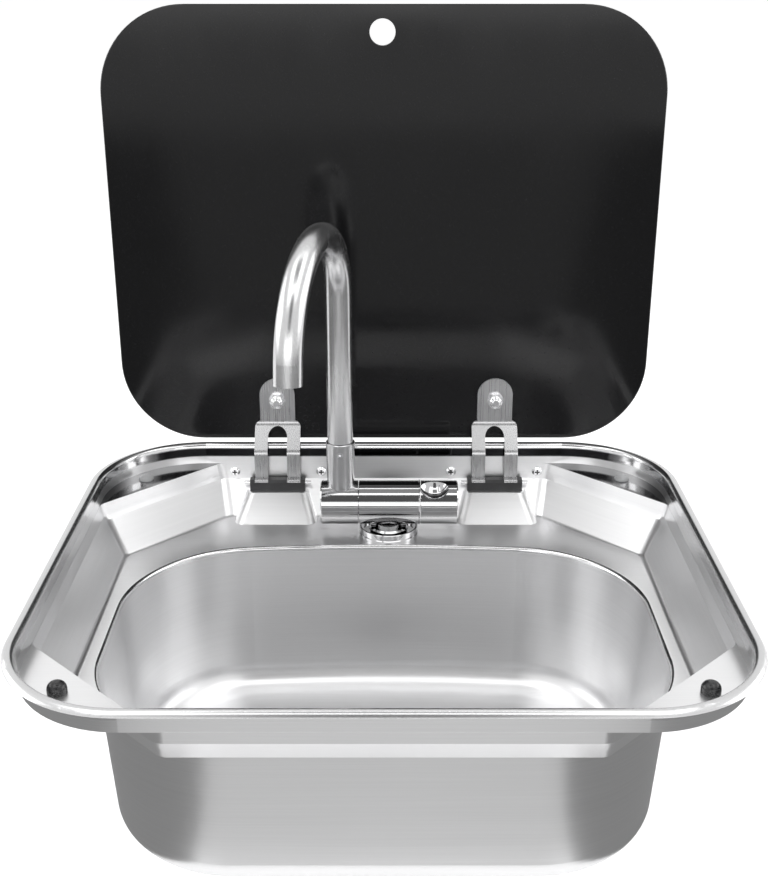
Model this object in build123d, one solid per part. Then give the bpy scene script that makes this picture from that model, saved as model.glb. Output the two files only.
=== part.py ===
from build123d import *
from math import atan, cos, degrees, radians, sin, sqrt
import os

# A drop-in sink for a camper kitchen: a pressed steel pan and bowl, a black glass lid on two
# hinges at the back, and a tap whose spout folds down under the closed glass.
# Millimetres. X runs to the right, Y away from the user and Z up. The origin is the middle of
# the rim, in the plane of the worktop.

# Pressed steel
sheet = 0.8                     # steel sheet of the pan and bowl
sloped_sheet = 0.96             # the same sheet, measured level through a sloped wall

# Rim: a rolled bead that lies on the worktop
rim_width = 420.0
rim_depth = 370.0
rim_corner = 74.5
bead_width = 7.7
bead_height = 2.6
bead_crest = 4.2                # from the rim's outer edge to the bead's highest line
seal_width = 3.4
seal_height = 1.2

# Pan, as insets from the rim's outer edge
shelf_z = -13.0                 # flat shelves in the four corners
crease_z = -22.0                # crease of the side, front and diagonal walls
back_crease_z = -25.0           # the back wall stays upright down to here
ledge_z = -46.0                 # ledge round the bowl
top_inset = 8.5
crease_inset = 10.7
back_crease_inset = 9.5
side_foot_inset = 26.6
back_foot_inset = 34.0
front_foot_inset = 32.3
back_cut_top = 76.2             # leg of the diagonal wall's corner cut, at three heights
back_cut_crease = 76.0
back_cut_foot = 66.6
front_cut_top = 85.0
front_cut_crease = 82.3
front_cut_foot = 63.6
pan_corner = 9.0
ledge_fillet = 4.0

# Bowl
bowl_side_inset = 37.0
bowl_front_inset = 48.5
bowl_back_inset = 83.3
bowl_crown = 13.7               # bow of the bowl's back edge
bowl_corner = 85.0
bowl_floor_z = -154.2
bowl_taper = 0.067
bowl_floor_fillet = 19.5
bowl_lip = 2.2                  # rolled edge between ledge and bowl
waste_recess = 33.0             # radius of the pressed seat of the waste
waste_recess_depth = 2.5

# Lid and its hinges
glass = 5.0
lid_side_gap = 4.95             # from the closed glass to the bead's inner face
lid_front_gap = 1.0
lid_back_gap = 44.6             # from the closed glass to the rim's outer edge, where the hinges are
lid_corner = 60.5
lid_offset = 19.5               # glass plane from the hinge axis
finger_hole = 8.9
finger_hole_drop = 18.2         # from the glass edge to the hole's middle
hinge_inset = 16.0
hinge_z = -25.6
hinge_spacing = 165.2
hinge_shift = 1.6               # the pair sits a little to the right
pin_radius = 1.5
pin_length = 51.0
pin_clearance = 0.05
bracket = 1.5                   # stamped strip of the hinge arms
leg_width = 10.0
leg_gap = 14.6
shoulder_z = 18.3
slot_top_z = 14.4
tab_width = 26.6
tab_top_z = 52.0
tab_bend_z = 15.8
leg_bend_z = -2.5
bolt_z = 35.2
pad = 1.0                       # rubber between arm and glass
bolt_radius = 3.0
nut_flats = 10.0
nut_height = 5.0
nut_collar = 2.2                # plastic locking ring in front of the nut's hexagon
washer = 1.0
washer_radius = 6.2
bolt_head_radius = 8.0
bolt_head = 3.0

# Hinge seats pressed up from the ledge, and the plastic blocks on them
seat_z = -30.8
seat_top_width = 47.0
seat_foot_width = 61.5
seat_top_inset = 23.0
seat_foot_inset = 49.0
seat_corner = 6.5
seat_round = 3.2
block_width = 41.7
block_top_z = -22.4
block_lip_z = -24.5
block_front = 4.5               # from the pin's axis to the block's front and back
block_back = 2.7
block_gap = 0.3
screw_spread = 33.0
screw_z = -19.2
screw_head = 3.75
screw_head_height = 2.4
screw_radius = 1.9
wall_nut_flats = 7.0
wall_nut_height = 2.4
backing = 1.2
backing_height = 8.0
block_screw_inset = 18.2        # from the rim's outer back edge
block_screw_head = 2.4
block_screw_radius = 1.5

# Rubber and clear bumpers on the corner shelves
front_bumper_side = 35.0        # from the rim's outer edges to the bumpers' middles
front_bumper_inset = 44.0
rear_bumper_side = 33.5
rear_bumper_inset = 39.0
bumper_radius = 5.5
bumper_gap = 0.3                # below the closed glass
rear_bumper_height = 2.2

# Tap
tap_inset = 58.0                # tap axis from the rim's outer back edge
tap_z = -23.0
tap_radius = 16.0
tap_base_x = 3.3
tap_left = -46.0
fold_split = -18.6
knob_split = 25.2
tap_right = 53.6
ring_width = 1.2
ring_radius = 16.4
split_gap = 0.3
fold_spigot = 9.0
knob_spigot = 8.0
knob_spigot_length = 15.0
end_cap = 1.4                   # disc that closes the left end
knob_scoop = 13.0               # ball that scoops the knob's finger grips, and how far out it lies
knob_scoop_out = 8.0
spigot_fit = 0.08
flange_radius = 22.0
flange = 1.3
cup_radius = 21.5
cup_wall = 1.2
cup_height = 4.2
collar_radius = 14.5
collar_height = 3.9
post_radius = 9.5
shank_length = 34.0
shank_end = 22.0               # turned down for the water connection
shank_end_radius = 8.3
tap_hole = 11.0
tap_rubber = 2.0                # washers and nut under the ledge
tap_rubber_radius = 18.0
tap_steel = 1.5
tap_steel_radius = 17.0
tap_nut_flats = 27.0
tap_nut_height = 6.0
tail_radius = 6.0               # plain end for a 12 mm push-fit joint
tail_length = 24.0
tail_groove = 0.6

# Spout
spout_x = -31.4
socket_radius = 10.4
socket_foot_radius = 9.5
socket_top_z = 25.0
set_screw_drop = 7.3
set_screw = 2.3
tube_radius = 9.2
tube_wall = 1.5
riser_top_z = 135.0
first_bend = 48.0
first_bend_angle = 79.0
second_bend = 68.6
second_bend_angle = 94.5
outlet_length = 14.0
spout_turn = 12.9               # the spout points a little to the left of straight ahead
swivel_spigot = 7.0
swivel_depth = 22.0

# Waste
waste_hole = 24.0
waste_flange_radius = 30.5
cup_bore = 20.2
cup_depth = 8.5
gasket = 2.0
waste_body_radius = 26.0
waste_body_depth = 26.0
outlet_radius = 12.5
outlet_bore = 10.5
waste_outlet_length = 30.0
plug_gap = 0.3

# Places that several pieces share
half_width = rim_width / 2
half_depth = rim_depth / 2
hinge_y = half_depth - hinge_inset
hinge_centres = (hinge_shift - hinge_spacing / 2, hinge_shift + hinge_spacing / 2)
glass_y = hinge_y + lid_offset
block_screw_y = half_depth - block_screw_inset
lid_width = 2 * (half_width - bead_width - lid_side_gap)
lid_bottom_z = hinge_z + hinge_y - (half_depth - lid_back_gap)
lid_top_z = hinge_z + hinge_y + half_depth - bead_width - lid_front_gap
closed_glass_z = hinge_z + lid_offset
tap_y = half_depth - tap_inset
bowl_half_width = half_width - bowl_side_inset
bowl_front = -(half_depth - bowl_front_inset)
bowl_back = half_depth - bowl_back_inset
waste_y = (bowl_front + bowl_back) / 2


def write(name, *solids):
    """Write one sub-part, with one or more solids, to its own file."""
    shape = solids[0] if len(solids) == 1 else Compound(children=list(solids))
    export_step(shape, os.path.join("parts", name + ".step"))


def disc(radius, z_low, z_high, x=0.0, y=0.0):
    """Upright cylinder between two heights."""
    return Pos(x, y, (z_low + z_high) / 2) * Cylinder(radius, z_high - z_low)


def ring(radius, bore, z_low, z_high, x=0.0, y=0.0):
    """Upright ring between two heights."""
    return disc(radius, z_low, z_high, x, y) - disc(bore, z_low - 1, z_high + 1, x, y)


def bar_x(radius, x_low, x_high, y, z):
    """Cylinder along X between two sides."""
    return Pos((x_low + x_high) / 2, y, z) * Rot(0, 90, 0) * Cylinder(radius, x_high - x_low)


def bar_y(radius, y_low, y_high, x, z):
    """Cylinder along Y between two depths."""
    return Pos(x, (y_low + y_high) / 2, z) * Rot(90, 0, 0) * Cylinder(radius, y_high - y_low)


def box(x_low, x_high, y_low, y_high, z_low, z_high):
    """Block between six faces."""
    centre = Pos((x_low + x_high) / 2, (y_low + y_high) / 2, (z_low + z_high) / 2)
    return centre * Box(x_high - x_low, y_high - y_low, z_high - z_low)


def on_line(z, points):
    """Value at height z on the broken line through (height, value) points, from top to foot."""
    upper = points[0]
    for lower in points[1:]:
        if z >= lower[0] - 0.001:
            break
        if lower is not points[-1]:
            upper = lower
    return upper[1] + (lower[1] - upper[1]) * (z - upper[0]) / (lower[0] - upper[0])


def rim_bead():
    """Rolled bead and the upright wall below it, swept round the rim."""
    edge_radius = (bead_crest ** 2 + bead_height ** 2) / (2 * bead_height)
    edge_centre_z = bead_height - edge_radius
    roll_radius = bead_width - bead_crest
    roll_centre_z = bead_height - roll_radius
    under_edge = sqrt((edge_radius - sheet) ** 2 - edge_centre_z ** 2)
    foot_z = shelf_z - sheet
    foot_inset = top_inset + (top_inset - bead_width) * sheet / (roll_centre_z - shelf_z)
    half = radians(45)
    start_plane = Plane(origin=(half_width, 0, 0), x_dir=(-1, 0, 0), z_dir=(0, 1, 0))
    inner_roll = roll_radius - sheet
    reach = under_edge / 2
    crest = (bead_crest, bead_height)
    under_crest = (bead_crest, bead_height - sheet)
    outer_lean = (0.5 * bead_crest, edge_centre_z + sqrt(edge_radius ** 2 - (0.5 * bead_crest) ** 2))
    inner_lean = (bead_crest - reach, edge_centre_z + sqrt((edge_radius - sheet) ** 2 - reach ** 2))
    outer_bend = (bead_crest + roll_radius * sin(half), roll_centre_z + roll_radius * cos(half))
    inner_bend = (bead_crest + inner_roll * sin(half), roll_centre_z + inner_roll * cos(half))
    with BuildSketch(start_plane) as section:
        with BuildLine():
            ThreePointArc((0, 0), outer_lean, crest)
            ThreePointArc(crest, outer_bend, (bead_width, roll_centre_z))
            Line((bead_width, roll_centre_z), (foot_inset, foot_z))
            Line((foot_inset, foot_z), (foot_inset - sheet, foot_z))
            Line((foot_inset - sheet, foot_z), (bead_width - sheet, roll_centre_z))
            ThreePointArc((bead_width - sheet, roll_centre_z), inner_bend, under_crest)
            ThreePointArc(under_crest, inner_lean, (bead_crest - under_edge, 0))
            Line((bead_crest - under_edge, 0), (0, 0))
        make_face()
    straight_x = half_width - rim_corner
    straight_y = half_depth - rim_corner
    with BuildLine() as path:
        Line((half_width, 0), (half_width, straight_y))
        CenterArc((straight_x, straight_y), rim_corner, 0, 90)
        Line((straight_x, half_depth), (-straight_x, half_depth))
        CenterArc((-straight_x, straight_y), rim_corner, 90, 90)
        Line((-half_width, straight_y), (-half_width, -straight_y))
        CenterArc((-straight_x, -straight_y), rim_corner, 180, 90)
        Line((-straight_x, -half_depth), (straight_x, -half_depth))
        CenterArc((straight_x, -straight_y), rim_corner, 270, 90)
        Line((half_width, -straight_y), (half_width, 0))
    return sweep(section.sketch, path=path.wire(), transition=Transition.RIGHT)


def pan_section(z, grow):
    """Eight-sided outline of the pan at height z, grown outwards by grow."""
    side = half_width + grow - on_line(
        z, [(shelf_z, top_inset), (crease_z, crease_inset), (ledge_z, side_foot_inset)])
    front = half_depth + grow - on_line(
        z, [(shelf_z, top_inset), (crease_z, crease_inset), (ledge_z, front_foot_inset)])
    back = half_depth + grow - on_line(
        z, [(shelf_z, top_inset), (back_crease_z, back_crease_inset), (ledge_z, back_foot_inset)])
    spare = grow * (2 - sqrt(2))
    back_cut = spare + on_line(
        z, [(shelf_z, back_cut_top), (crease_z, back_cut_crease), (ledge_z, back_cut_foot)])
    front_cut = spare + on_line(
        z, [(shelf_z, front_cut_top), (crease_z, front_cut_crease), (ledge_z, front_cut_foot)])
    right_side = [
        (side - front_cut, -front),
        (side, -front + front_cut),
        (side, back - back_cut),
        (side - back_cut, back),
    ]
    left_side = [(-x, y) for x, y in reversed(right_side)]
    outline = Polygon(*right_side, *left_side, align=None)
    outline = fillet(outline.vertices(), pan_corner + grow)
    return Pos(0, 0, z) * outline


def pan_solid(top_z, foot_z, grow):
    """Solid of the pan's eight sloped walls, with a soft edge round its foot."""
    levels = [top_z, crease_z, back_crease_z, foot_z]
    body = loft([pan_section(z, grow).face() for z in levels], ruled=True)
    foot = body.faces().sort_by(Axis.Z)[0]
    return body.fillet(ledge_fillet + grow, foot.edges())


def hinge_seat(x, shrink):
    """Seat of one hinge, pressed up from the ledge; shrink gives the hollow under it."""
    back = half_depth + 20
    foot_front = half_depth - seat_foot_inset + shrink
    top_front = half_depth - seat_top_inset + shrink
    foot_z = ledge_z - 4 * sheet if shrink else ledge_z - sheet / 2
    corner = seat_corner - shrink
    foot_width = seat_foot_width - 2 * shrink
    top_width = seat_top_width - 2 * shrink
    foot = RectangleRounded(foot_width, back - foot_front, corner)
    top = RectangleRounded(top_width, back - top_front, corner)
    foot = Pos(x, (back + foot_front) / 2, foot_z) * foot
    top = Pos(x, (back + top_front) / 2, seat_z - shrink) * top
    body = loft([foot.face(), top.face()], ruled=True)
    cap = body.faces().sort_by(Axis.Z)[-1]
    return body.fillet(seat_round - shrink, cap.edges())


def bowl_section(grow):
    """Outline of the bowl at the ledge, with its crowned back edge, grown outwards by grow."""
    side = bowl_half_width + grow
    front = bowl_front - grow
    back = bowl_back + grow
    with BuildSketch(Plane.XY.offset(ledge_z)) as outline:
        with BuildLine():
            Line((-side, back - bowl_crown), (-side, front))
            Line((-side, front), (side, front))
            Line((side, front), (side, back - bowl_crown))
            ThreePointArc((side, back - bowl_crown), (0, back), (-side, back - bowl_crown))
        make_face()
        fillet(outline.vertices(), bowl_corner + grow)
    return outline.sketch


def bowl_solid(grow):
    """Tapered solid of the bowl with its rounded floor and the seat of the waste."""
    floor_z = bowl_floor_z - grow
    taper = degrees(atan(bowl_taper))
    body = extrude(bowl_section(grow), floor_z - ledge_z, taper=taper).solid()
    floor = body.faces().sort_by(Axis.Z)[0]
    body = body.fillet(bowl_floor_fillet + grow, floor.edges())
    seat = Pos(0, waste_y, floor_z - waste_recess_depth / 2) * Rot(180, 0, 0) * Cone(
        waste_recess + grow, waste_recess + grow - 2, waste_recess_depth)
    return body + seat


def hinge_screw_places():
    """X of the four screws in the back wall, two beside each hinge."""
    return [x + side * screw_spread for x in hinge_centres for side in (-1, 1)]


def deck():
    """Rim, pan walls and ledge, drawn from one sheet."""
    tub = pan_solid(shelf_z - sheet / 2, ledge_z - sheet, sloped_sheet)
    tub = tub - pan_solid(shelf_z - sheet / 2, ledge_z, 0)
    shelf_half_x = half_width - top_inset
    shelf_half_y = half_depth - top_inset
    shelf_corner = rim_corner - top_inset
    plate = RectangleRounded(2 * shelf_half_x, 2 * shelf_half_y, shelf_corner)
    shelf = extrude(Pos(0, 0, shelf_z - sheet) * plate, sheet)
    shelf = shelf - extrude(Pos(0, 0, -2 * sheet) * pan_section(shelf_z, 0), 3 * sheet)
    pressing = rim_bead() + shelf + tub
    outer = pan_solid(shelf_z - sheet / 2, ledge_z - sheet, sloped_sheet)
    for x in hinge_centres:
        hollow = hinge_seat(x, sheet)
        pressing = pressing - hollow
        pressing = pressing + ((hinge_seat(x, 0) & outer) - hollow)
        pressing = pressing - disc(block_screw_radius + 0.2, seat_z - 3, seat_z + 3, x, block_screw_y)
    mouth = extrude(bowl_section(bowl_lip), 4 * sheet, both=True)
    pressing = pressing - mouth
    pressing = pressing - disc(tap_hole, ledge_z - 3, ledge_z + 3, tap_base_x, tap_y)
    for x in hinge_screw_places():
        pressing = pressing - bar_y(screw_radius + 0.2, half_depth - 14, half_depth - 4, x, screw_z)
    return pressing


def bowl():
    """Bowl with the rolled lip that is welded flush into the ledge."""
    lip_plate = extrude(bowl_section(bowl_lip), -sheet)
    body = (bowl_solid(sheet) + lip_plate) - bowl_solid(0)
    body = body - disc(waste_hole, bowl_floor_z - 9, bowl_floor_z + 1, 0, waste_y)
    body = body.solid()
    under = [f for f in body.faces().filter_by(Axis.Z) if abs(f.center().Z - ledge_z + sheet) < 0.01]
    body = body.fillet(bowl_lip - sheet - 0.1, under[0].inner_wires()[0].edges())
    upper = [f for f in body.faces().filter_by(Axis.Z) if abs(f.center().Z - ledge_z) < 0.01]
    return body.fillet(bowl_lip - 0.1, upper[0].inner_wires()[0].edges())


def rim_seal():
    """Sealing strip inside the bead, flush with the worktop."""
    outer = bead_crest - seal_width / 2 - 0.2
    inner = outer + seal_width
    strip = RectangleRounded(rim_width - 2 * outer, rim_depth - 2 * outer, rim_corner - outer)
    strip -= RectangleRounded(rim_width - 2 * inner, rim_depth - 2 * inner, rim_corner - inner)
    return extrude(strip, seal_height)


def hinge_block(x):
    """Black plastic bearing block of one hinge, notched for the two legs of the arm."""
    slope = (back_foot_inset - back_crease_inset) / (back_crease_z - ledge_z)
    wall_top = half_depth - back_crease_inset - 2 * block_gap
    wall_foot = wall_top - slope * (back_crease_z - seat_z)
    front = hinge_y - block_front
    back = hinge_y + block_back
    outline = [
        (front, seat_z),
        (wall_foot, seat_z),
        (back, back_crease_z - (wall_top - back) / slope),
        (back, block_top_z),
        (front + 1.5, block_top_z),
        (front, block_top_z - 2),
    ]
    with BuildSketch(Plane.YZ.offset(x - block_width / 2)) as side:
        with BuildLine():
            Polyline(*outline, close=True)
        make_face()
    body = extrude(side.sketch, block_width)
    body = body - bar_x(pin_radius, x - block_width, x + block_width, hinge_y, hinge_z)
    room = pin_radius + pin_clearance + bracket + block_gap + 0.2
    for side_sign in (-1, 1):
        middle = x + side_sign * (leg_gap + leg_width) / 2
        left = middle - leg_width / 2 - block_gap
        right = middle + leg_width / 2 + block_gap
        body = body - bar_x(room, left, right, hinge_y, hinge_z)
        body = body - box(left, right, hinge_y - 20, hinge_y, block_lip_z, block_top_z + 5)
        body = body - box(left, right, hinge_y - 1, hinge_y + room, hinge_z, block_top_z + 5)
    return body - disc(block_screw_radius, seat_z - 1, seat_z + 3, x, block_screw_y)


def hinge_arm(x):
    """Stamped arm from the pin over the rim to the glass, with its two legs curled round the pin."""
    leg_y = hinge_y + pin_radius + pin_clearance + bracket / 2
    tab_y = glass_y - pad - bracket / 2
    corners = [(leg_y, hinge_z), (leg_y, leg_bend_z), (tab_y, tab_bend_z), (tab_y, tab_top_z)]
    with BuildLine(Plane.YZ.offset(x)) as run:
        FilletPolyline(*corners, radius=6)
    arm_width = 2 * leg_width + leg_gap
    foot_plane = Plane(origin=(x, leg_y, hinge_z), x_dir=(1, 0, 0), z_dir=(0, 0, 1))
    strip = sweep(foot_plane * Rectangle(arm_width, bracket), path=run.wire())
    front_plane = Plane(origin=(x, hinge_y, 0), x_dir=(1, 0, 0), z_dir=(0, -1, 0))
    shoulders = Pos(0, (shoulder_z + hinge_z) / 2) * Rectangle(arm_width, shoulder_z - hinge_z)
    shoulders = fillet(shoulders.vertices().group_by(Axis.Y)[-1], 5)
    round_z = tab_top_z - tab_width / 2
    tab = Pos(0, (round_z + hinge_z) / 2) * Rectangle(tab_width, round_z - hinge_z)
    outline = shoulders + tab + Pos(0, round_z) * Circle(tab_width / 2)
    arch_z = slot_top_z - leg_gap / 2
    slot = Pos(0, arch_z) * Circle(leg_gap / 2)
    slot += Pos(0, (arch_z + hinge_z) / 2 - 3) * Rectangle(leg_gap, arch_z - hinge_z + 6)
    outline = outline - slot - Pos(0, bolt_z) * Circle(bolt_radius + 0.2)
    arm = strip & extrude(front_plane * outline, 30, both=True)
    for side_sign in (-1, 1):
        middle = x + side_sign * (leg_gap + leg_width) / 2
        left = middle - leg_width / 2
        right = middle + leg_width / 2
        curl = bar_x(pin_radius + pin_clearance + bracket, left, right, hinge_y, hinge_z)
        arm = arm + curl
    return arm - bar_x(pin_radius + pin_clearance, x - arm_width, x + arm_width, hinge_y, hinge_z)


def lid():
    """Toughened glass lid with its finger hole and bolt holes, standing open."""
    height = lid_top_z - lid_bottom_z
    plane = Plane(origin=(0, glass_y, (lid_top_z + lid_bottom_z) / 2), x_dir=(1, 0, 0), z_dir=(0, -1, 0))
    pane = extrude(plane * RectangleRounded(lid_width, height, lid_corner), -glass)
    rims = pane.edges().filter_by(Plane.XZ)
    pane = chamfer(rims, 0.6)
    pane = pane - bar_y(finger_hole, glass_y - 1, glass_y + glass + 1, -1.0, lid_top_z - finger_hole_drop)
    for x in hinge_centres:
        pane = pane - bar_y(bolt_radius + 1.2, glass_y - 1, glass_y + glass + 1, x, bolt_z)
    return pane


def lid_pad(x):
    """Rubber pad between one arm and the glass, in the outline of the arm's tab."""
    plane = Plane(origin=(x, glass_y - pad, 0), x_dir=(1, 0, 0), z_dir=(0, -1, 0))
    foot_z = tab_bend_z + 5
    round_z = tab_top_z - tab_width / 2
    outline = Pos(0, (round_z + foot_z) / 2) * Rectangle(tab_width - 1, round_z - foot_z)
    outline += Pos(0, round_z) * Circle(tab_width / 2 - 0.5)
    outline -= Pos(0, bolt_z) * Circle(bolt_radius + 0.2)
    return extrude(plane * outline, -pad)


def lock_nut(x):
    """Hexagon lock nut with its round locking collar, on the front of one arm."""
    seat_y = glass_y - pad - bracket - washer
    plane = Plane(origin=(x, seat_y, bolt_z), x_dir=(1, 0, 0), z_dir=(0, -1, 0))
    hexagon = extrude(plane * RegularPolygon(nut_flats / 2, 6, major_radius=False), nut_height)
    front_y = seat_y - nut_height - nut_collar
    collar = bar_y(nut_flats * 0.45, front_y, seat_y - nut_height, x, bolt_z)
    collar = chamfer(collar.edges().sort_by(Axis.Y)[0], 0.9)
    return hexagon + collar - bar_y(bolt_radius, front_y - 1, seat_y + 1, x, bolt_z)


def lid_bolt(x):
    """Button-head bolt from behind the glass through pad, arm and nut."""
    head_y = glass_y + glass + pad
    head = bar_y(bolt_head_radius, head_y, head_y + bolt_head, x, bolt_z)
    head = chamfer(head.edges().sort_by(Axis.Y)[-1], 2.0, 3.0)
    socket_plane = Plane(origin=(x, head_y + bolt_head, bolt_z), x_dir=(1, 0, 0), z_dir=(0, 1, 0))
    head = head - extrude(socket_plane * RegularPolygon(2, 6, major_radius=False), -1.8)
    tip_y = glass_y - pad - bracket - washer - nut_height - nut_collar - 1
    shaft = bar_y(bolt_radius, tip_y, head_y + 0.1, x, bolt_z)
    return head + chamfer(shaft.edges().sort_by(Axis.Y)[0], 0.6)


def bumper(x, y, height):
    """Domed bumper on a corner shelf."""
    body = disc(bumper_radius, shelf_z, shelf_z + height, x, y)
    return fillet(body.edges().sort_by(Axis.Z)[-1], min(0.9 * height, 0.8 * bumper_radius))


def wall_screw(x):
    """Pan-head screw in the back wall."""
    lean = (back_crease_inset - top_inset) / (shelf_z - back_crease_z)
    wall_y = half_depth - top_inset - lean * (shelf_z - screw_z + screw_head)
    head = bar_y(screw_head, wall_y - screw_head_height, wall_y, x, screw_z)
    head = chamfer(head.edges().sort_by(Axis.Y)[0], 1.3)
    return head + bar_y(screw_radius, wall_y - 0.1, backing_y() + backing + 2.4, x, screw_z)


def backing_y():
    """Depth of the face of the backing strips, just outside the back wall."""
    return half_depth - top_inset + sheet + 0.2


def backing_strip(x):
    """Steel strip behind the back wall that stiffens it at one hinge."""
    near = backing_y()
    reach = screw_spread + 7
    low = screw_z - backing_height / 2
    strip = box(x - reach, x + reach, near, near + backing, low, low + backing_height)
    strip = fillet(strip.edges().filter_by(Axis.Y), 3)
    for side_sign in (-1, 1):
        hole_x = x + side_sign * screw_spread
        strip = strip - bar_y(screw_radius + 0.1, near - 1, near + backing + 1, hole_x, screw_z)
    return strip


def hex_nut(x, y, z, flats, height, bore):
    """Hexagon nut whose bore runs along Y."""
    plane = Plane(origin=(x, y, z), x_dir=(1, 0, 0), z_dir=(0, 1, 0))
    outline = RegularPolygon(flats / 2, 6, major_radius=False) - Circle(bore)
    return extrude(plane * outline, height)


def block_screw(x):
    """Screw from under one hinge seat into the block."""
    head_z = seat_z - sheet
    head = disc(block_screw_head, head_z - 1.8, head_z, x, block_screw_y)
    head = chamfer(head.edges().sort_by(Axis.Z)[0], 0.6)
    return head + disc(block_screw_radius, head_z - 0.1, seat_z + 2.8, x, block_screw_y)


def tap_body():
    """Fixed middle of the tap, its post, and the spigots that carry spout collar and knob."""
    body = bar_x(tap_radius, fold_split + split_gap, knob_split, tap_y, tap_z)
    body = chamfer(body.edges().sort_by(Axis.X)[0], 0.3)
    body = body + disc(post_radius, ledge_z + flange, tap_z, tap_base_x, tap_y)
    body = body + bar_x(fold_spigot, tap_left + 2 * split_gap + end_cap, fold_split + 1, tap_y, tap_z)
    return body + bar_x(knob_spigot, knob_split - 1, knob_split + knob_spigot_length, tap_y, tap_z)


def fold_collar():
    """Collar that turns about the tap's axis, with the upright tapered socket of the spout."""
    body = bar_x(tap_radius, tap_left + end_cap, fold_split, tap_y, tap_z)
    body = chamfer(body.edges().sort_by(Axis.X)[-1], 0.3)
    middle_z = (socket_top_z + tap_z) / 2
    socket = Cone(socket_foot_radius, socket_radius, socket_top_z - tap_z)
    socket = Pos(spout_x, tap_y, middle_z) * socket
    body = body + chamfer(socket.edges().sort_by(Axis.Z)[-1], 0.5)
    bore_foot = socket_top_z - swivel_depth - split_gap
    body = body - disc(swivel_spigot + spigot_fit, bore_foot, socket_top_z + 1, spout_x, tap_y)
    body = body - bar_x(fold_spigot + spigot_fit, tap_left, fold_split + 1, tap_y, tap_z)
    hole_z = socket_top_z - set_screw_drop
    front = tap_y - socket_radius - 1
    return body - bar_y(set_screw + 0.05, front, tap_y - swivel_spigot, spout_x, hole_z)


def spout():
    """Bent tube of the spout with the spigot that turns in the socket."""
    lean = radians(spout_turn)
    foot_z = socket_top_z + split_gap
    ahead = (-sin(lean), -cos(lean), 0)
    plane = Plane(origin=(spout_x, tap_y, 0), x_dir=ahead, z_dir=(-cos(lean), sin(lean), 0))
    with BuildLine(plane) as run:
        riser = Line((0, foot_z), (0, riser_top_z))
        rise = JernArc(riser @ 1, riser % 1, first_bend, -first_bend_angle)
        fall = JernArc(rise @ 1, rise % 1, second_bend, -second_bend_angle)
        Line(fall @ 1, fall @ 1 + (fall % 1) * outlet_length)
    path = run.wire()
    start = Plane(origin=path @ 0, z_dir=path % 0)
    tube = sweep(start * (Circle(tube_radius) - Circle(tube_radius - tube_wall)), path=path)
    bore = swivel_spigot - 2
    groove_z = socket_top_z - set_screw_drop
    step = ring(tube_radius, bore, foot_z, foot_z + 3, spout_x, tap_y)
    spigot = ring(swivel_spigot, bore, socket_top_z - swivel_depth, foot_z + 1, spout_x, tap_y)
    groove = ring(swivel_spigot + 1, swivel_spigot - 0.8, groove_z - 2.7, groove_z + 2.7, spout_x, tap_y)
    outlet = Plane(origin=path @ 1, z_dir=path % 1)
    return tube + step + spigot - groove, outlet


def aerator(outlet):
    """Flow straightener inside the mouth of the spout: a ring with a slotted plate."""
    bore = tube_radius - tube_wall
    body = outlet * (Pos(0, 0, -3.5) * Cylinder(bore - 0.05, 6))
    body = body - outlet * (Pos(0, 0, -0.8) * Cylinder(bore - 1.2, 3))
    slots = Sketch() + [place * Rectangle(2, 8) for place in GridLocations(3.4, 0, 3, 1)]
    return body - extrude(outlet * (Pos(0, 0, -8) * slots), 8)


def knob():
    """Turning knob of the tap, with two scooped finger grips."""
    left = knob_split + ring_width + split_gap
    body = bar_x(tap_radius, left, tap_right, tap_y, tap_z)
    body = chamfer(body.edges().sort_by(Axis.X)[-1], 0.8)
    for turn in (30, 210):
        lean = radians(turn)
        out = tap_radius + knob_scoop_out
        centre = (left + knob_scoop * 0.75, tap_y - out * sin(lean), tap_z + out * cos(lean))
        body = body - Pos(*centre) * Sphere(knob_scoop)
    bore_end = knob_split + knob_spigot_length + split_gap
    return body - bar_x(knob_spigot + spigot_fit, left - 1, bore_end, tap_y, tap_z)


def shank():
    """Threaded shank of the tap through the ledge, with its turned-down lower end."""
    foot = ledge_z - shank_length
    step = foot + shank_end
    body = disc(post_radius, step, ledge_z + flange, tap_base_x, tap_y)
    end = disc(shank_end_radius, foot, step, tap_base_x, tap_y)
    end = chamfer(end.edges().sort_by(Axis.Z)[0], 0.5)
    return body + end - disc(4, foot - 1, ledge_z + flange + 1, tap_base_x, tap_y)


def inlet_tail(z_top):
    """Plain water tail under the tap's shank, with a groove that a push-fit joint grips."""
    x = tap_base_x
    foot = z_top - tail_length
    body = disc(tail_radius, foot, z_top, x, tap_y)
    body = chamfer(body.edges().sort_by(Axis.Z)[0], 0.6)
    groove_z = z_top - 1.5
    body = body - ring(tail_radius + 1, tail_radius - tail_groove, groove_z - 1.5, groove_z, x, tap_y)
    return body - disc(tail_radius - 2, foot - 1, z_top + 1, x, tap_y)


def waste_flange():
    """Dished steel flange of the waste with a pierced floor."""
    seat = bowl_floor_z - waste_recess_depth
    body = ring(waste_flange_radius, cup_bore, seat, seat + 1, 0, waste_y)
    body = chamfer(body.edges().group_by(Axis.Z)[-1].sort_by(SortBy.LENGTH)[-1], 0.6)
    cup = disc(cup_bore + 0.8, seat - cup_depth, seat + 1, 0, waste_y)
    cup = cup - disc(cup_bore, seat - cup_depth + 1, seat + 2, 0, waste_y)
    body = body + cup - disc(3.1, seat - 20, seat, 0, waste_y)
    for place in PolarLocations(13, 8):
        body = body - Pos(0, waste_y, seat - cup_depth) * place * Cylinder(4, 6)
    return body


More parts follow.
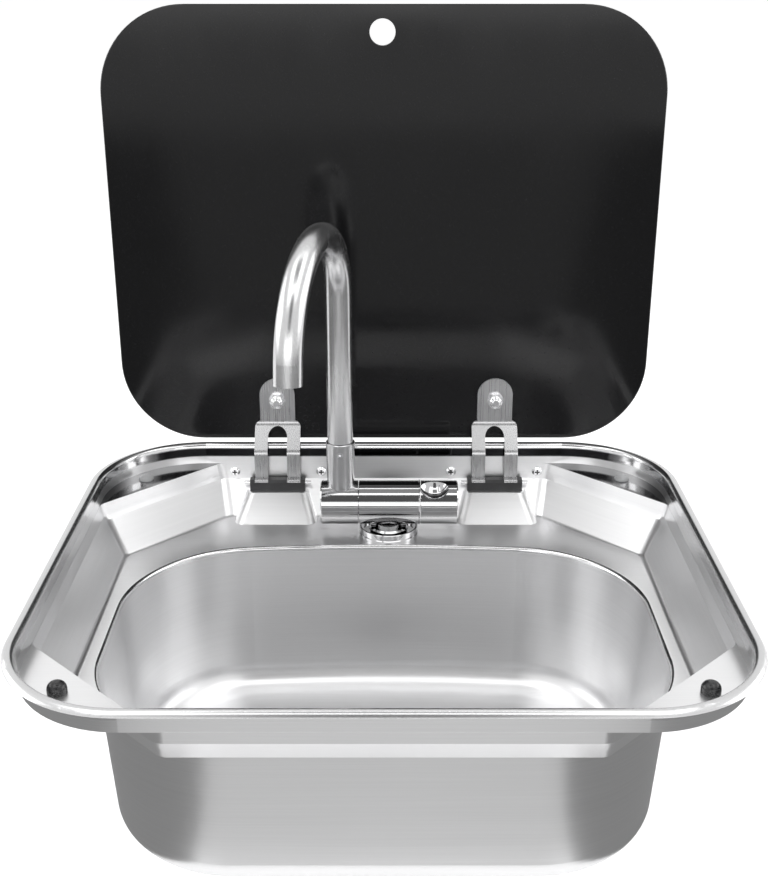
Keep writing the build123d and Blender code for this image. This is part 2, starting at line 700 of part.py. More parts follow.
def waste_body():
    """Plastic body of the waste with its straight outlet."""
    top = bowl_floor_z - waste_recess_depth - sheet - gasket
    foot = top - waste_body_depth
    body = disc(waste_body_radius + 4, top - 3, top, 0, waste_y)
    body = body + disc(waste_body_radius, foot, top, 0, waste_y)
    body = fillet(body.edges().sort_by(Axis.Z)[0], 6)
    body = body + disc(outlet_radius, foot - waste_outlet_length, foot + 2, 0, waste_y)
    inside = disc(waste_body_radius - 3, foot + 3, top + 1, 0, waste_y)
    inside = fillet(inside.edges().sort_by(Axis.Z)[0], 4)
    body = body - inside - disc(outlet_bore, foot - waste_outlet_length - 1, foot + 4, 0, waste_y)
    bridge_z = top - 14
    reach = waste_body_radius - 2
    body = body + box(-reach, reach, waste_y - 3, waste_y + 3, bridge_z - 3, bridge_z + 3)
    body = body + disc(6, bridge_z - 6, bridge_z + 3, 0, waste_y)
    return body - disc(3.0, bridge_z - 7, bridge_z + 4, 0, waste_y)


def waste_screw():
    """Screw that draws the flange down on the waste body."""
    seat = bowl_floor_z - waste_recess_depth
    head = disc(5, seat - cup_depth + 1, seat - cup_depth + 3.2, 0, waste_y)
    head = fillet(head.edges().sort_by(Axis.Z)[-1], 1.2)
    head = head - box(-4, 4, waste_y - 0.6, waste_y + 0.6, seat - cup_depth + 2.2, seat - cup_depth + 4)
    return head + disc(2.9, seat - sheet - gasket - 18, seat - cup_depth + 1.1, 0, waste_y)


def plug():
    """Rubber plug that closes the waste."""
    seat = bowl_floor_z - waste_recess_depth + 1
    body = disc(cup_bore + 2.5, seat + plug_gap, seat + plug_gap + 1.8, 0, waste_y)
    body = fillet(body.edges().sort_by(Axis.Z)[-1], 1.2)
    stem = Pos(0, waste_y, seat - 1.5) * Rot(180, 0, 0) * Cone(cup_bore - plug_gap, cup_bore - 1.6, 4)
    return body + stem


def plug_pull():
    """Steel pull in the middle of the plug."""
    seat = bowl_floor_z - waste_recess_depth + 1 + plug_gap + 1.8
    with BuildSketch(Plane.XZ) as half:
        with BuildLine():
            Polyline((0, seat), (5, seat), (5, seat + 0.8), (2.2, seat + 1.4), (2.2, seat + 4.5))
            Polyline((2.2, seat + 4.5), (5.4, seat + 5.6), (5.4, seat + 7.2))
            Polyline((5.4, seat + 7.2), (4.4, seat + 8.2), (0, seat + 8.2))
            Line((0, seat + 8.2), (0, seat))
        make_face()
    return Pos(0, waste_y, 0) * revolve(half.sketch, Axis.Z)


os.makedirs("parts", exist_ok=True)

# Pressed steel body
write("deck_pressing", deck())
write("bowl_shell", bowl())
write("rim_seal", rim_seal())

# Hinges: seats are in the pressing, blocks stand on them
for name, x in zip(("left", "right"), hinge_centres):
    write("hinge_block_" + name, hinge_block(x))
    pin = bar_x(pin_radius, x - pin_length / 2, x + pin_length / 2, hinge_y, hinge_z)
    write("hinge_pin_" + name, chamfer(pin.edges(), 0.3))
    write("hinge_backing_" + name, backing_strip(x))
    write("lid_arm_" + name, hinge_arm(x))
write("hinge_block_screws", *[block_screw(x) for x in hinge_centres])
write("wall_screws", *[wall_screw(x) for x in hinge_screw_places()])
nut_y = backing_y() + backing
wall_nuts = [
    hex_nut(x, nut_y, screw_z, wall_nut_flats, wall_nut_height, screw_radius)
    for x in hinge_screw_places()]
write("wall_screw_nuts", *wall_nuts)

# Bumpers
front_height = closed_glass_z - bumper_gap - shelf_z
front_x = half_width - front_bumper_side
front_y = -(half_depth - front_bumper_inset)
write("front_bumpers", *[bumper(side * front_x, front_y, front_height) for side in (-1, 1)])
rear_x = half_width - rear_bumper_side
rear_y = half_depth - rear_bumper_inset
write("rear_bumpers", *[bumper(side * rear_x, rear_y, rear_bumper_height) for side in (-1, 1)])

# Lid
write("glass_lid", lid())
write("lid_pads", *[lid_pad(x) for x in hinge_centres])
write("lid_nuts", *[lock_nut(x) for x in hinge_centres])
write("lid_bolts", *[lid_bolt(x) for x in hinge_centres])
washer_y = glass_y - pad - bracket - washer
arm_washers = []
glass_washers = []
for x in hinge_centres:
    arm_washers.append(
        bar_y(washer_radius, washer_y, washer_y + washer, x, bolt_z)
        - bar_y(bolt_radius + 0.1, washer_y - 1, washer_y + 2, x, bolt_z))
    glass_washers.append(
        bar_y(bolt_head_radius + 1, glass_y + glass, glass_y + glass + pad, x, bolt_z)
        - bar_y(bolt_radius + 0.1, glass_y + glass - 1, glass_y + glass + 3, x, bolt_z))
write("lid_arm_washers", *arm_washers)
write("lid_glass_washers", *glass_washers)

# Tap
flange_top = ledge_z + flange
tap_flange = ring(flange_radius, post_radius + 0.05, ledge_z, flange_top, tap_base_x, tap_y)
tap_flange = chamfer(tap_flange.edges().group_by(Axis.Z)[-1].sort_by(SortBy.LENGTH)[-1], 0.5)
write("tap_flange", tap_flange)
cup_top = flange_top + cup_height
tap_cup = ring(cup_radius, cup_radius - cup_wall, flange_top, cup_top, tap_base_x, tap_y)
write("tap_cup", chamfer(tap_cup.edges().group_by(Axis.Z)[-1], 0.3))
collar_top = flange_top + collar_height
tap_collar = ring(collar_radius, post_radius + 0.05, flange_top, collar_top, tap_base_x, tap_y)
tap_collar = chamfer(tap_collar.edges().group_by(Axis.Z)[-1].sort_by(SortBy.LENGTH)[-1], 1.2)
write("tap_collar", tap_collar)
write("tap_body", tap_body())
trim = bar_x(ring_radius, knob_split, knob_split + ring_width, tap_y, tap_z)
trim = chamfer(trim.edges(), 0.3) - bar_x(knob_spigot, knob_split - 1, knob_split + 3, tap_y, tap_z)
write("tap_trim_ring", trim)
write("tap_knob", knob())
write("tap_shank", shank())
under_ledge = ledge_z - sheet
rubber_foot = under_ledge - tap_rubber
steel_foot = rubber_foot - tap_steel
bore = post_radius + 0.05
write("tap_rubber_washer", ring(tap_rubber_radius, bore, rubber_foot, under_ledge, tap_base_x, tap_y))
write("tap_steel_washer", ring(tap_steel_radius, bore, steel_foot, rubber_foot, tap_base_x, tap_y))
nut_outline = RegularPolygon(tap_nut_flats / 2, 6, major_radius=False) - Circle(post_radius + 0.02)
write("tap_nut", extrude(Pos(tap_base_x, tap_y, steel_foot - tap_nut_height) * nut_outline, tap_nut_height))
write("tap_inlet_tail", inlet_tail(ledge_z - shank_length))

# Folding spout
write("fold_collar", fold_collar())
cap = bar_x(tap_radius, tap_left, tap_left + end_cap, tap_y, tap_z)
write("fold_collar_cap", chamfer(cap.edges().sort_by(Axis.X)[0], 0.8))
screw_tip = tap_y - swivel_spigot - 0.3
screw_face = tap_y - socket_radius + 0.5
grub_z = socket_top_z - set_screw_drop
grub = bar_y(set_screw, screw_face, screw_tip, spout_x, grub_z)
write("socket_set_screw", grub - bar_y(1, screw_face - 1, screw_face + 1.5, spout_x, grub_z))
spout_tube, mouth_plane = spout()
write("spout_tube", spout_tube)
write("spout_aerator", aerator(mouth_plane))

# Waste
write("waste_flange", waste_flange())
gasket_top = bowl_floor_z - waste_recess_depth - sheet
gasket_ring = ring(waste_body_radius + 4, cup_bore + 1, gasket_top - gasket, gasket_top, 0, waste_y)
write("waste_gasket", gasket_ring)
write("waste_body", waste_body())
write("waste_screw", waste_screw())
write("waste_plug", plug())
write("waste_plug_pull", plug_pull())
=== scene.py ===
import math

import bmesh
import bpy
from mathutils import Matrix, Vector


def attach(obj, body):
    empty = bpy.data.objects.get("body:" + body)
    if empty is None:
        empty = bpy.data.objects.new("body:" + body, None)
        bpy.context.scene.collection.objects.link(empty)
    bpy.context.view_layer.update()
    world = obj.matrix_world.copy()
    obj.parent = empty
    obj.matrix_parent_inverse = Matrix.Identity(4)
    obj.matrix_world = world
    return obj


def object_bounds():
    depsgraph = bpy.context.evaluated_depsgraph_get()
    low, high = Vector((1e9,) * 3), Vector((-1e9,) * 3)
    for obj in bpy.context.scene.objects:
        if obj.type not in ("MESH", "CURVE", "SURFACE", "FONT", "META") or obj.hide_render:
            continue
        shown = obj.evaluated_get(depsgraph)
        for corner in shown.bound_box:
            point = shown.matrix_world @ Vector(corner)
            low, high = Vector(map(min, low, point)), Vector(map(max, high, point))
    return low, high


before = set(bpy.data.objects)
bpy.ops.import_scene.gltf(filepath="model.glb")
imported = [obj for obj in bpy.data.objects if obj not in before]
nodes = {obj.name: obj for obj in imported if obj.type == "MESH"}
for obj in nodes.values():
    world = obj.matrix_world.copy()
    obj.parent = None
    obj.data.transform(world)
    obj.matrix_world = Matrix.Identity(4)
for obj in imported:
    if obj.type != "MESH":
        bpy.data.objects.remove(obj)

cad_box = [list(corner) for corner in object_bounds()]
scene = bpy.context.scene

# --- Camera ---------------------------------------------------------------------------------
# The viewer stands at the front of the sink and looks down into the bowl, with the lid standing
# open behind it.
eye_height = 0.3668
eye_distance = 0.7310
look_down = 21.588
focal_pixels = 1285.6
picture_height = 876
sensor_height = 24.0
nearest_seen = 0.02
farthest_seen = 60.0

camera_data = bpy.data.cameras.new("camera")
camera_data.sensor_fit = "VERTICAL"
camera_data.sensor_height = sensor_height
camera_data.lens = focal_pixels / picture_height * sensor_height
camera_data.clip_start = nearest_seen
camera_data.clip_end = farthest_seen
camera = bpy.data.objects.new("camera", camera_data)
camera.location = (0.0, -eye_distance, eye_height)
camera.rotation_euler = (math.radians(90.0 - look_down), 0.0, 0.0)
scene.collection.objects.link(camera)
scene.camera = camera

# --- Studio ---------------------------------------------------------------------------------
# A white room with grey flats overhead, in front and over the floor, which give the steel and
# chrome their dark tones. A low strip in front and a panel at each side are the bright parts of
# the reflections.
scene.view_settings.view_transform = "Standard"
room_shade = 0.52
floor_z = cad_box[0][2]
floor_shade = 0.82
floor_glow = 0.58               # added to the lit floor, so that it reads as white
floor_reach = 20.0
flat_lift = 0.002               # from the floor to the flats that lie over it
sink_middle = (0.0, 0.0, 0.0)


def cool_grey(shade):
    """Grey that leans a little to blue, as steel does."""
    return (shade, shade, shade + 0.005)


def background_ray(tree):
    """1 on the rays that see the white background: camera, glossy and transmission rays."""
    path = tree.nodes.new("ShaderNodeLightPath")
    seen = path.outputs["Is Camera Ray"]
    for kind in ("Is Glossy Ray", "Is Transmission Ray"):
        either = tree.nodes.new("ShaderNodeMath")
        either.operation = "MAXIMUM"
        tree.links.new(seen, either.inputs[0])
        tree.links.new(path.outputs[kind], either.inputs[1])
        seen = either.outputs[0]
    return seen


world = bpy.data.worlds.new("studio")
scene.world = world
world.use_nodes = True
tree = world.node_tree
tree.nodes.clear()
room = tree.nodes.new("ShaderNodeBackground")
room.inputs["Color"].default_value = (*cool_grey(room_shade), 1)
paper = tree.nodes.new("ShaderNodeBackground")
paper.inputs["Color"].default_value = (1, 1, 1, 1)
mix = tree.nodes.new("ShaderNodeMixShader")
tree.links.new(background_ray(tree), mix.inputs[0])
tree.links.new(room.outputs[0], mix.inputs[1])
tree.links.new(paper.outputs[0], mix.inputs[2])
out = tree.nodes.new("ShaderNodeOutputWorld")
tree.links.new(mix.outputs[0], out.inputs["Surface"])


def stage_piece(name, corners, material):
    """Flat part of the studio with the given corners."""
    mesh = bpy.data.meshes.new(name)
    mesh.from_pydata(corners, [], [tuple(range(len(corners)))])
    mesh.materials.append(material)
    piece = bpy.data.objects.new(name, mesh)
    scene.collection.objects.link(piece)
    return piece


def four_corners(half_width, near, far):
    """Corners between two level edges, each edge given by its y and z."""
    return [(-half_width, *near), (half_width, *near), (half_width, *far), (-half_width, *far)]


floor_paint = bpy.data.materials.new("floor_paint")
floor_paint.use_nodes = True
tree = floor_paint.node_tree
tree.nodes.clear()
matt = tree.nodes.new("ShaderNodeBsdfDiffuse")
matt.inputs["Color"].default_value = (floor_shade, floor_shade, floor_shade, 1)
glow = tree.nodes.new("ShaderNodeEmission")
strength = tree.nodes.new("ShaderNodeMath")
strength.operation = "MULTIPLY"
strength.inputs[1].default_value = floor_glow
tree.links.new(background_ray(tree), strength.inputs[0])
tree.links.new(strength.outputs[0], glow.inputs["Strength"])
both = tree.nodes.new("ShaderNodeAddShader")
tree.links.new(matt.outputs[0], both.inputs[0])
tree.links.new(glow.outputs[0], both.inputs[1])
out = tree.nodes.new("ShaderNodeOutputMaterial")
tree.links.new(both.outputs[0], out.inputs["Surface"])
stage_piece("floor", four_corners(floor_reach, (-floor_reach, floor_z), (floor_reach, floor_z)),
            floor_paint)


def grey_flat(name, shade, corners):
    """Evenly lit grey flat, seen only in reflections."""
    paint = bpy.data.materials.new(name)
    paint.use_nodes = True
    tree = paint.node_tree
    tree.nodes.clear()
    glow = tree.nodes.new("ShaderNodeEmission")
    glow.inputs["Color"].default_value = (shade, shade, shade, 1.0)
    out = tree.nodes.new("ShaderNodeOutputMaterial")
    tree.links.new(glow.outputs[0], out.inputs["Surface"])
    piece = stage_piece(name, corners, paint)
    piece.visible_camera = False
    piece.visible_diffuse = False
    piece.visible_shadow = False


def over_floor(outline):
    """Corners of an outline laid just over the floor."""
    return [(x, y, floor_z + flat_lift) for x, y in outline]


grey_flat("ceiling_flat", shade=0.42, corners=four_corners(0.35, (-0.45, 1.6), (0.3, 1.6)))
grey_flat("upper_flat", shade=0.14, corners=four_corners(0.3, (-1.9, 0.95), (-0.75, 1.5)))
front_outline = [(-0.7, -3.0), (0.7, -3.0), (0.16, -0.19), (-0.16, -0.19)]
grey_flat("front_floor", shade=0.60, corners=over_floor(front_outline))
side_outline = [(0.7, -3.0), (3.0, -3.0), (3.0, 0.2), (0.2, 0.2), (0.16, -0.19)]
for side in (-1, 1):
    corners = over_floor([(side * x, y) for x, y in side_outline])
    grey_flat("side_floor", shade=0.24, corners=corners if side > 0 else corners[::-1])


def soft_light(name, place, aim, width, height, power):
    """Rectangular soft light that points at aim."""
    data = bpy.data.lights.new(name, "AREA")
    data.shape = "RECTANGLE"
    data.size = width
    data.size_y = height
    data.energy = power
    lamp = bpy.data.objects.new(name, data)
    lamp.location = place
    lamp.rotation_euler = (Vector(aim) - Vector(place)).to_track_quat("-Z", "Y").to_euler()
    scene.collection.objects.link(lamp)


soft_light("overhead", place=(0.0, -0.25, 1.7), aim=(0.0, -0.02, 0.0), width=2.2, height=1.6,
           power=16.0)
soft_light("front_strip", place=(0.0, -2.6, 0.56), aim=sink_middle, width=2.8, height=0.85,
           power=13.0)
for name, side in (("left_panel", -1), ("right_panel", 1)):
    soft_light(name, place=(side * 1.8, 0.3, 0.65), aim=sink_middle, width=1.6, height=1.0,
               power=9.0)

# --- Deck: rim, pan walls and ledge -----------------------------------------------------------
# One sheet of stainless steel, drawn in a press. It keeps the fine straight grain of the brushed
# coil, and the rolled bead round its edge is polished brighter than the walls.
# Its colour also carries painted shade on the bead's top and painted reflections of the black lid
# on the rear shelves and inside the rear bead.
even = (1.0, 1.0, 1.0)          # noise that isn't stretched along any axis
sheet_grain = 1100.0
rear_from = 0.05                # how far back a polished shelf begins
no_shelf = 1.0                  # a height above the whole sink, for a sheet without shelves
polish_edge = (-0.0008, 0.0004)  # about the height where the polish begins
# Painted shade: the top of the bead is painted this darker grey for its darker reflections.
bead_painted_shade = 0.66
shelf_top = -0.008
# Painted reflection: the rear shelves below shelf_top are painted this dark grey for the black
# lid they reflect.
painted_shelf_shade = 0.30
# Painted reflection: a dark band on the inward face of the rear bead, where the black lid would
# be reflected.
lid_reflection_foot = (-0.0078, -0.0070)
lid_reflection_top = (-0.0016, -0.0008)
lid_reflection_back = (0.158, 0.168)
lid_reflection_colour = (0.03, 0.03, 0.032)


def new_material(name):
    """Empty node material with a Principled shader; returns material, tree and shader."""
    material = bpy.data.materials.new(name)
    material.use_nodes = True
    tree = material.node_tree
    tree.nodes.clear()
    shader = tree.nodes.new("ShaderNodeBsdfPrincipled")
    out = tree.nodes.new("ShaderNodeOutputMaterial")
    tree.links.new(shader.outputs[0], out.inputs["Surface"])
    return material, tree, shader


def grain(tree, scale, stretch, detail):
    """Noise in the piece's own metres, stretched along the axes by stretch."""
    place = tree.nodes.new("ShaderNodeTexCoord")
    mapping = tree.nodes.new("ShaderNodeMapping")
    mapping.inputs["Scale"].default_value = stretch
    noise = tree.nodes.new("ShaderNodeTexNoise")
    noise.inputs["Scale"].default_value = scale
    noise.inputs["Detail"].default_value = detail
    tree.links.new(place.outputs["Object"], mapping.inputs["Vector"])
    tree.links.new(mapping.outputs["Vector"], noise.inputs["Vector"])
    return noise.outputs["Fac"]


def spread(tree, value, low, high, to_low, to_high):
    """Value mapped from low..high to to_low..to_high, clamped."""
    node = tree.nodes.new("ShaderNodeMapRange")
    node.inputs["From Min"].default_value = low
    node.inputs["From Max"].default_value = high
    node.inputs["To Min"].default_value = to_low
    node.inputs["To Max"].default_value = to_high
    tree.links.new(value, node.inputs["Value"])
    return node.outputs[0]


def ramp(tree, value, low, high):
    """0 where the value is low or less, 1 where it is high or more."""
    return spread(tree, value, low, high, 0.0, 1.0)


def maths(tree, operation, first, second=0.0):
    """Math node on two values, each a socket or a number."""
    node = tree.nodes.new("ShaderNodeMath")
    node.operation = operation
    for number, value in enumerate((first, second)):
        if isinstance(value, (int, float)):
            node.inputs[number].default_value = value
        else:
            tree.links.new(value, node.inputs[number])
    return node.outputs[0]


def blended(tree, factor, first, second):
    """Value between first and second by factor; each is a socket or a number."""
    rest = maths(tree, "SUBTRACT", 1.0, factor)
    from_first = maths(tree, "MULTIPLY", first, rest)
    from_second = maths(tree, "MULTIPLY", second, factor)
    return maths(tree, "ADD", from_first, from_second)


def mixed_colour(tree, factor, first, second):
    """Colour between first and second by factor; each is a socket or a colour."""
    node = tree.nodes.new("ShaderNodeMix")
    node.data_type = "RGBA"
    tree.links.new(factor, node.inputs[0])
    for number, value in ((6, first), (7, second)):
        if isinstance(value, tuple):
            node.inputs[number].default_value = (*value, 1.0)
        else:
            tree.links.new(value, node.inputs[number])
    return node.outputs[2]


def own_axis(tree, source, axis):
    """One component of the piece's own position or normal."""
    place = tree.nodes.new("ShaderNodeTexCoord")
    split = tree.nodes.new("ShaderNodeSeparateXYZ")
    tree.links.new(place.outputs[source], split.inputs[0])
    return split.outputs[axis]


def bumped(tree, shader, height, distance, strength):
    """Bump on the shader from a height in metres times distance."""
    bump = tree.nodes.new("ShaderNodeBump")
    bump.inputs["Distance"].default_value = distance
    bump.inputs["Strength"].default_value = strength
    tree.links.new(height, bump.inputs["Height"])
    tree.links.new(bump.outputs["Normal"], shader.inputs["Normal"])


def deck_tones(tree, colour, height, depth, shelf):
    """Colour with painted shade on the bead's top, and painted reflections of the black lid on
    the rear shelves and in a dark band inside the rear bead.
    """
    # Painted reflection of the black lid: a dark band on the inward face of the rear bead.
    painted_lid_reflection = maths(tree, "MULTIPLY", ramp(tree, height, *lid_reflection_foot),
                   spread(tree, height, *lid_reflection_top, 1.0, 0.0))
    painted_lid_reflection = maths(tree, "MULTIPLY", painted_lid_reflection, ramp(tree, depth, *lid_reflection_back))
    inward = maths(tree, "LESS_THAN", own_axis(tree, "Normal", "Y"), 0.0)
    painted_lid_reflection = maths(tree, "MULTIPLY", painted_lid_reflection, inward)
    # Painted reflection of the black lid on the rear shelves, in their colour.
    painted_shelf = maths(tree, "MULTIPLY", shelf, maths(tree, "LESS_THAN", height, shelf_top))
    # Painted shade on the bead's top, above polish_edge.
    colour = mixed_colour(tree, ramp(tree, height, *polish_edge), colour, cool_grey(bead_painted_shade))
    colour = mixed_colour(tree, painted_shelf, colour, cool_grey(painted_shelf_shade))
    return mixed_colour(tree, painted_lid_reflection, colour, lid_reflection_colour)


def pressed_steel(name, light, dark, roughness, bright_above, polish, shelf_z=no_shelf):
    """Brushed sheet steel, polished above bright_above and on rear flats above shelf_z.

    roughness is the least and most of the brushed parts, and polish that of the bright parts, at
    the front and at the back."""
    material, tree, shader = new_material(name)
    flat = ramp(tree, maths(tree, "ABSOLUTE", own_axis(tree, "Normal", "Z")), 0.7, 0.95)
    lines = blended(tree, flat, grain(tree, sheet_grain, (0.01, 0.01, 1.0), 3.0),
                    grain(tree, sheet_grain, (0.015, 1.0, 1.0), 3.0))
    clouds = grain(tree, 7.0, even, 1.0)
    height = own_axis(tree, "Object", "Z")
    depth = own_axis(tree, "Object", "Y")
    shelf = maths(tree, "MULTIPLY", maths(tree, "GREATER_THAN", height, shelf_z), flat)
    shelf = maths(tree, "MULTIPLY", shelf, maths(tree, "GREATER_THAN", depth, rear_from))
    bead = ramp(tree, height, bright_above + polish_edge[0], bright_above + polish_edge[1])
    colour = mixed_colour(tree, ramp(tree, lines, 0.3, 0.7), dark, light)
    # On the deck, deck_tones paints shade and reflections of the lid into the colour.
    if shelf_z < no_shelf:
        colour = deck_tones(tree, colour, height, depth, shelf)
    tree.links.new(colour, shader.inputs["Base Color"])
    wear = maths(tree, "ADD", maths(tree, "MULTIPLY", clouds, 0.6),
                 maths(tree, "MULTIPLY", lines, 0.4))
    brushed = spread(tree, wear, 0.35, 0.65, *roughness)
    bright = maths(tree, "MAXIMUM", bead, shelf)
    polished = spread(tree, depth, 0.05, 0.12, *polish)
    tree.links.new(blended(tree, bright, brushed, polished), shader.inputs["Roughness"])
    shader.inputs["Metallic"].default_value = 1.0
    unpolished = maths(tree, "SUBTRACT", 1.0, bright)
    bumped(tree, shader, maths(tree, "MULTIPLY", lines, unpolished), 0.00001, 0.12)
    return material


def finish_node(name, material):
    """Gives a carried-over piece its finish."""
    piece = nodes[name]
    if not piece.material_slots:
        piece.data.materials.append(material)
    for slot in piece.material_slots:
        slot.link = "OBJECT"
        slot.material = material


deck_steel = pressed_steel("deck_steel", cool_grey(0.90), cool_grey(0.87), roughness=(0.28, 0.33),
                           bright_above=-0.006, polish=(0.24, 0.10), shelf_z=-0.0145)
finish_node("deck_pressing", deck_steel)

# --- Bowl -----------------------------------------------------------------------------------
# Deep-drawn from the same steel, so its grain is stretched and softer. The rolled lip where it is
# welded into the ledge is ground and polished bright.
bowl_steel = pressed_steel("bowl_steel", cool_grey(0.82), cool_grey(0.79), roughness=(0.29, 0.35),
                           bright_above=-0.0485, polish=(0.14, 0.08))
finish_node("bowl_shell", bowl_steel)

# --- Seal under the rim -----------------------------------------------------------------------
# A strip of black foam rubber, stuck inside the bead. The rim presses it on the worktop, so that
# no water runs under.


def rubber(name, colour, rough):
    """Matt moulded rubber or plastic with a fine skin and a little dust."""
    material, tree, shader = new_material(name)
    skin = grain(tree, 1400.0, even, 2.0)
    dust = grain(tree, 60.0, even, 4.0)
    pale = tuple(part * 1.8 + 0.01 for part in colour)
    dusty = mixed_colour(tree, ramp(tree, dust, 0.45, 0.7), colour, pale)
    tree.links.new(dusty, shader.inputs["Base Color"])
    roughness = spread(tree, skin, 0.3, 0.7, rough - 0.08, rough + 0.08)
    tree.links.new(roughness, shader.inputs["Roughness"])
    bumped(tree, shader, skin, 0.00004, 0.5)
    return material


seal_rubber = rubber("seal_rubber", (0.02, 0.02, 0.02), rough=0.8)
finish_node("rim_seal", seal_rubber)

# --- Hinges ---------------------------------------------------------------------------------
# Black moulded blocks stand on two seats pressed up from the ledge. A steel pin runs through each
# and carries the two curled legs of a stamped arm. Four cross-head screws go through the wall.
head_gap = 0.012                # more than one screw head's width, less than the way to the next
cross_width = 0.0038
cross_slot = 0.14               # half a slot's breadth, as a share of the cross's width
cross_depth = 0.00012

block_plastic = rubber("block_plastic", (0.012, 0.012, 0.013), rough=0.42)
for side in ("left", "right"):
    finish_node("hinge_block_" + side, block_plastic)


def bright_metal(name, light, dark, low_rough, high_rough):
    """Plain or plated metal with faint polishing marks."""
    material, tree, shader = new_material(name)
    marks = grain(tree, 500.0, (1.0, 0.25, 1.0), 5.0)
    clouds = grain(tree, 40.0, even, 3.0)
    colour = mixed_colour(tree, ramp(tree, clouds, 0.35, 0.65), dark, light)
    tree.links.new(colour, shader.inputs["Base Color"])
    roughness = spread(tree, marks, 0.3, 0.7, low_rough, high_rough)
    tree.links.new(roughness, shader.inputs["Roughness"])
    shader.inputs["Metallic"].default_value = 1.0
    bumped(tree, shader, marks, 0.00001, 0.4)
    return material


def strip_steel(name, light, dark, low_rough, high_rough):
    """Steel strip or tube with fine grain along its length."""
    material, tree, shader = new_material(name)
    lines = grain(tree, 1300.0, (1.0, 1.0, 0.015), 3.0)
    clouds = grain(tree, 30.0, even, 2.0)
    colour = mixed_colour(tree, ramp(tree, lines, 0.3, 0.7), dark, light)
    tree.links.new(colour, shader.inputs["Base Color"])
    wear = maths(tree, "ADD", maths(tree, "MULTIPLY", clouds, 0.5),
                 maths(tree, "MULTIPLY", lines, 0.5))
    roughness = spread(tree, wear, 0.35, 0.65, low_rough, high_rough)
    tree.links.new(roughness, shader.inputs["Roughness"])
    shader.inputs["Metallic"].default_value = 1.0
    bumped(tree, shader, lines, 0.000008, 0.5)
    return material


arm_steel = strip_steel("arm_steel", cool_grey(0.46), cool_grey(0.37), 0.24, 0.32)
screw_steel = bright_metal("screw_steel", (0.82, 0.82, 0.83), (0.66, 0.66, 0.67), 0.08, 0.18)
for side in ("left", "right"):
    finish_node("hinge_pin_" + side, screw_steel)
    finish_node("hinge_backing_" + side, screw_steel)
    finish_node("lid_arm_" + side, arm_steel)
for name in ("hinge_block_screws", "wall_screws", "wall_screw_nuts"):
    finish_node(name, screw_steel)


def cross_recess_shade(name, middle, material):
    """Cross of painted shade in a screw head's recess, a thin black plate that faces the user."""
    mesh = bpy.data.meshes.new(name)
    shape = bmesh.new()
    slot = cross_width * cross_slot
    reach = cross_width / 2
    outline = [(-slot, -reach), (slot, -reach), (slot, -slot), (reach, -slot),
               (reach, slot), (slot, slot), (slot, reach), (-slot, reach),
               (-slot, slot), (-reach, slot), (-reach, -slot), (-slot, -slot)]
    front = [shape.verts.new((x, -cross_depth, z)) for x, z in outline]
    back = [shape.verts.new((x, 0.0, z)) for x, z in outline]
    shape.faces.new(front)
    shape.faces.new(back[::-1])
    for number in range(len(outline)):
        after = (number + 1) % len(outline)
        shape.faces.new((front[after], front[number], back[number], back[after]))
    bmesh.ops.recalc_face_normals(shape, faces=shape.faces)
    bmesh.ops.triangulate(shape, faces=shape.faces)
    shape.to_mesh(mesh)
    shape.free()
    piece = bpy.data.objects.new(name, mesh)
    piece.location = middle
    scene.collection.objects.link(piece)
    mesh.materials.append(material)
    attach(piece, "sink")


# Painted shade: a black cross stands in for the shade in each wall screw's recess.
recess_painted_shade = rubber("recess_painted_shade", (0.03, 0.03, 0.03), rough=0.5)
screws = nodes["wall_screws"]
points = [screws.matrix_world @ vertex.co for vertex in screws.data.vertices]
heads = []
for point in sorted(points, key=lambda point: point.x):
    if not heads or point.x - heads[-1][0].x > head_gap:
        heads.append([point])
    else:
        heads[-1].append(point)
for number, head in enumerate(heads):
    face_y = min(point.y for point in head)
    centre_x = (min(point.x for point in head) + max(point.x for point in head)) / 2
    centre_z = (min(point.z for point in head) + max(point.z for point in head)) / 2
    cross_recess_shade(f"wall_screw_cross_{number}", (centre_x, face_y, centre_z), recess_painted_shade)

# --- Bumpers --------------------------------------------------------------------------------
# Domed rubber buttons on the front shelves hold the closed glass off the steel. The rear shelves
# have small clear ones.
bumper_rubber = rubber("bumper_rubber", (0.012, 0.012, 0.013), rough=0.26)
finish_node("front_bumpers", bumper_rubber)
clear_plastic, tree, shader = new_material("clear_plastic")
haze = grain(tree, 300.0, even, 2.0)
tree.links.new(spread(tree, haze, 0.3, 0.7, 0.04, 0.12), shader.inputs["Roughness"])
shader.inputs["Base Color"].default_value = (0.92, 0.93, 0.94, 1)
shader.inputs["Transmission Weight"].default_value = 0.6
shader.inputs["IOR"].default_value = 1.45
finish_node("rear_bumpers", clear_plastic)

# --- Glass lid ------------------------------------------------------------------------------
# Toughened glass, enamelled black, with ground edges and a finger hole. Each arm is bolted to it
# between rubber pads.
glass_black = (0.006, 0.006, 0.0065)
glass_speck = (0.012, 0.012, 0.013)

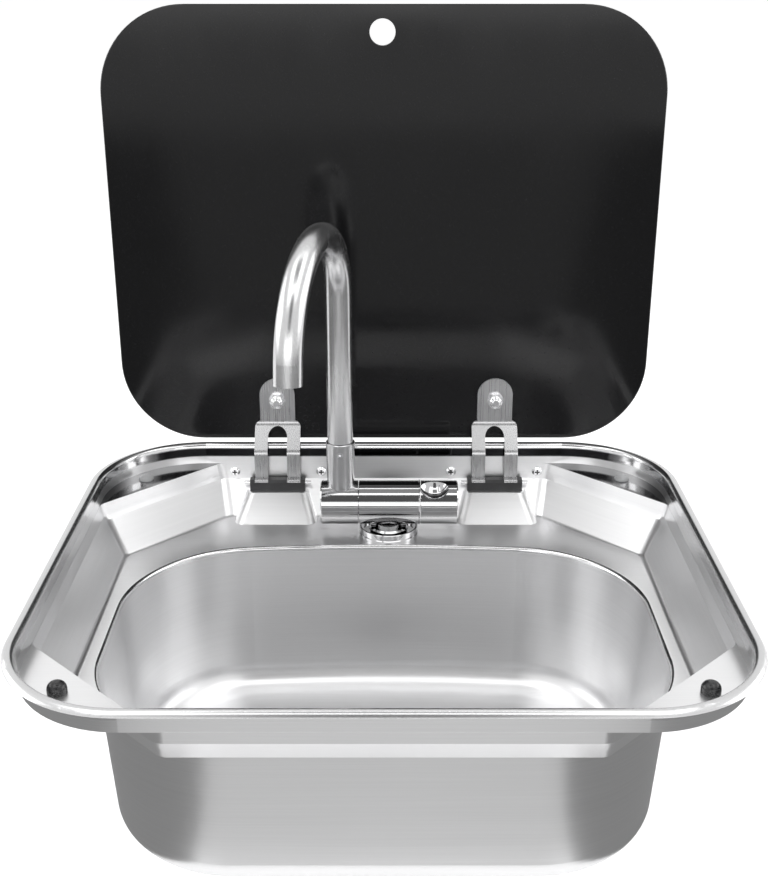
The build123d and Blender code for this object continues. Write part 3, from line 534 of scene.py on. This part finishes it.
lid_glass, tree, shader = new_material("lid_glass")
smears = grain(tree, 14.0, (1.0, 1.0, 0.6), 5.0)
specks = grain(tree, 900.0, even, 2.0)
speckled = mixed_colour(tree, ramp(tree, specks, 0.6, 0.8), glass_black, glass_speck)
tree.links.new(speckled, shader.inputs["Base Color"])
tree.links.new(spread(tree, smears, 0.35, 0.7, 0.08, 0.15), shader.inputs["Roughness"])
shader.inputs["IOR"].default_value = 1.5
shader.inputs["Specular IOR Level"].default_value = 0.3
finish_node("glass_lid", lid_glass)
finish_node("lid_pads", seal_rubber)
finish_node("lid_glass_washers", seal_rubber)
for name in ("lid_nuts", "lid_bolts", "lid_arm_washers"):
    finish_node(name, screw_steel)

# --- Tap ------------------------------------------------------------------------------------
# Cast brass, turned, polished and chromed. It stands on a round foot on the ledge, held from
# below by a nut, and the knob turns at its right end.
chrome_finish = (cool_grey(0.54), cool_grey(0.51), 0.05, 0.09)
socket_edge = (-0.010, -0.006)  # heights between which the collar turns into its satin socket
socket_rough = 0.22

chrome = bright_metal("chrome", *chrome_finish)
for name in ("tap_flange", "tap_cup", "tap_collar", "tap_body", "tap_trim_ring", "tap_knob",
             "fold_collar_cap"):
    finish_node(name, chrome)
fold_chrome = bright_metal("fold_chrome", *chrome_finish)
tree = fold_chrome.node_tree
shader = tree.nodes["Principled BSDF"]
socket = ramp(tree, own_axis(tree, "Object", "Z"), *socket_edge)
polish = shader.inputs["Roughness"].links[0].from_socket
tree.links.new(blended(tree, socket, polish, socket_rough), shader.inputs["Roughness"])
finish_node("fold_collar", fold_chrome)
raw_brass = bright_metal("raw_brass", (0.78, 0.60, 0.32), (0.62, 0.46, 0.22), 0.2, 0.36)
for name in ("tap_shank", "tap_nut", "tap_inlet_tail"):
    finish_node(name, raw_brass)
finish_node("tap_rubber_washer", seal_rubber)
finish_node("tap_steel_washer", screw_steel)
finish_node("socket_set_screw", screw_steel)

# --- Spout ----------------------------------------------------------------------------------
# A bent steel tube with a satin finish that turns in the socket of the folding collar, with a
# plastic flow straightener in its mouth.
spout_steel = strip_steel("spout_steel", cool_grey(0.62), cool_grey(0.58), 0.22, 0.28)
finish_node("spout_tube", spout_steel)
finish_node("spout_aerator", block_plastic)

# --- Waste ----------------------------------------------------------------------------------
# A steel flange screwed down on a black plastic body, with a rubber plug that lifts out by its
# steel pull.
for name in ("waste_flange", "waste_screw"):
    finish_node(name, screw_steel)
finish_node("waste_plug_pull", chrome)
for name in ("waste_gasket", "waste_plug"):
    finish_node(name, bumper_rubber)
finish_node("waste_body", block_plastic)
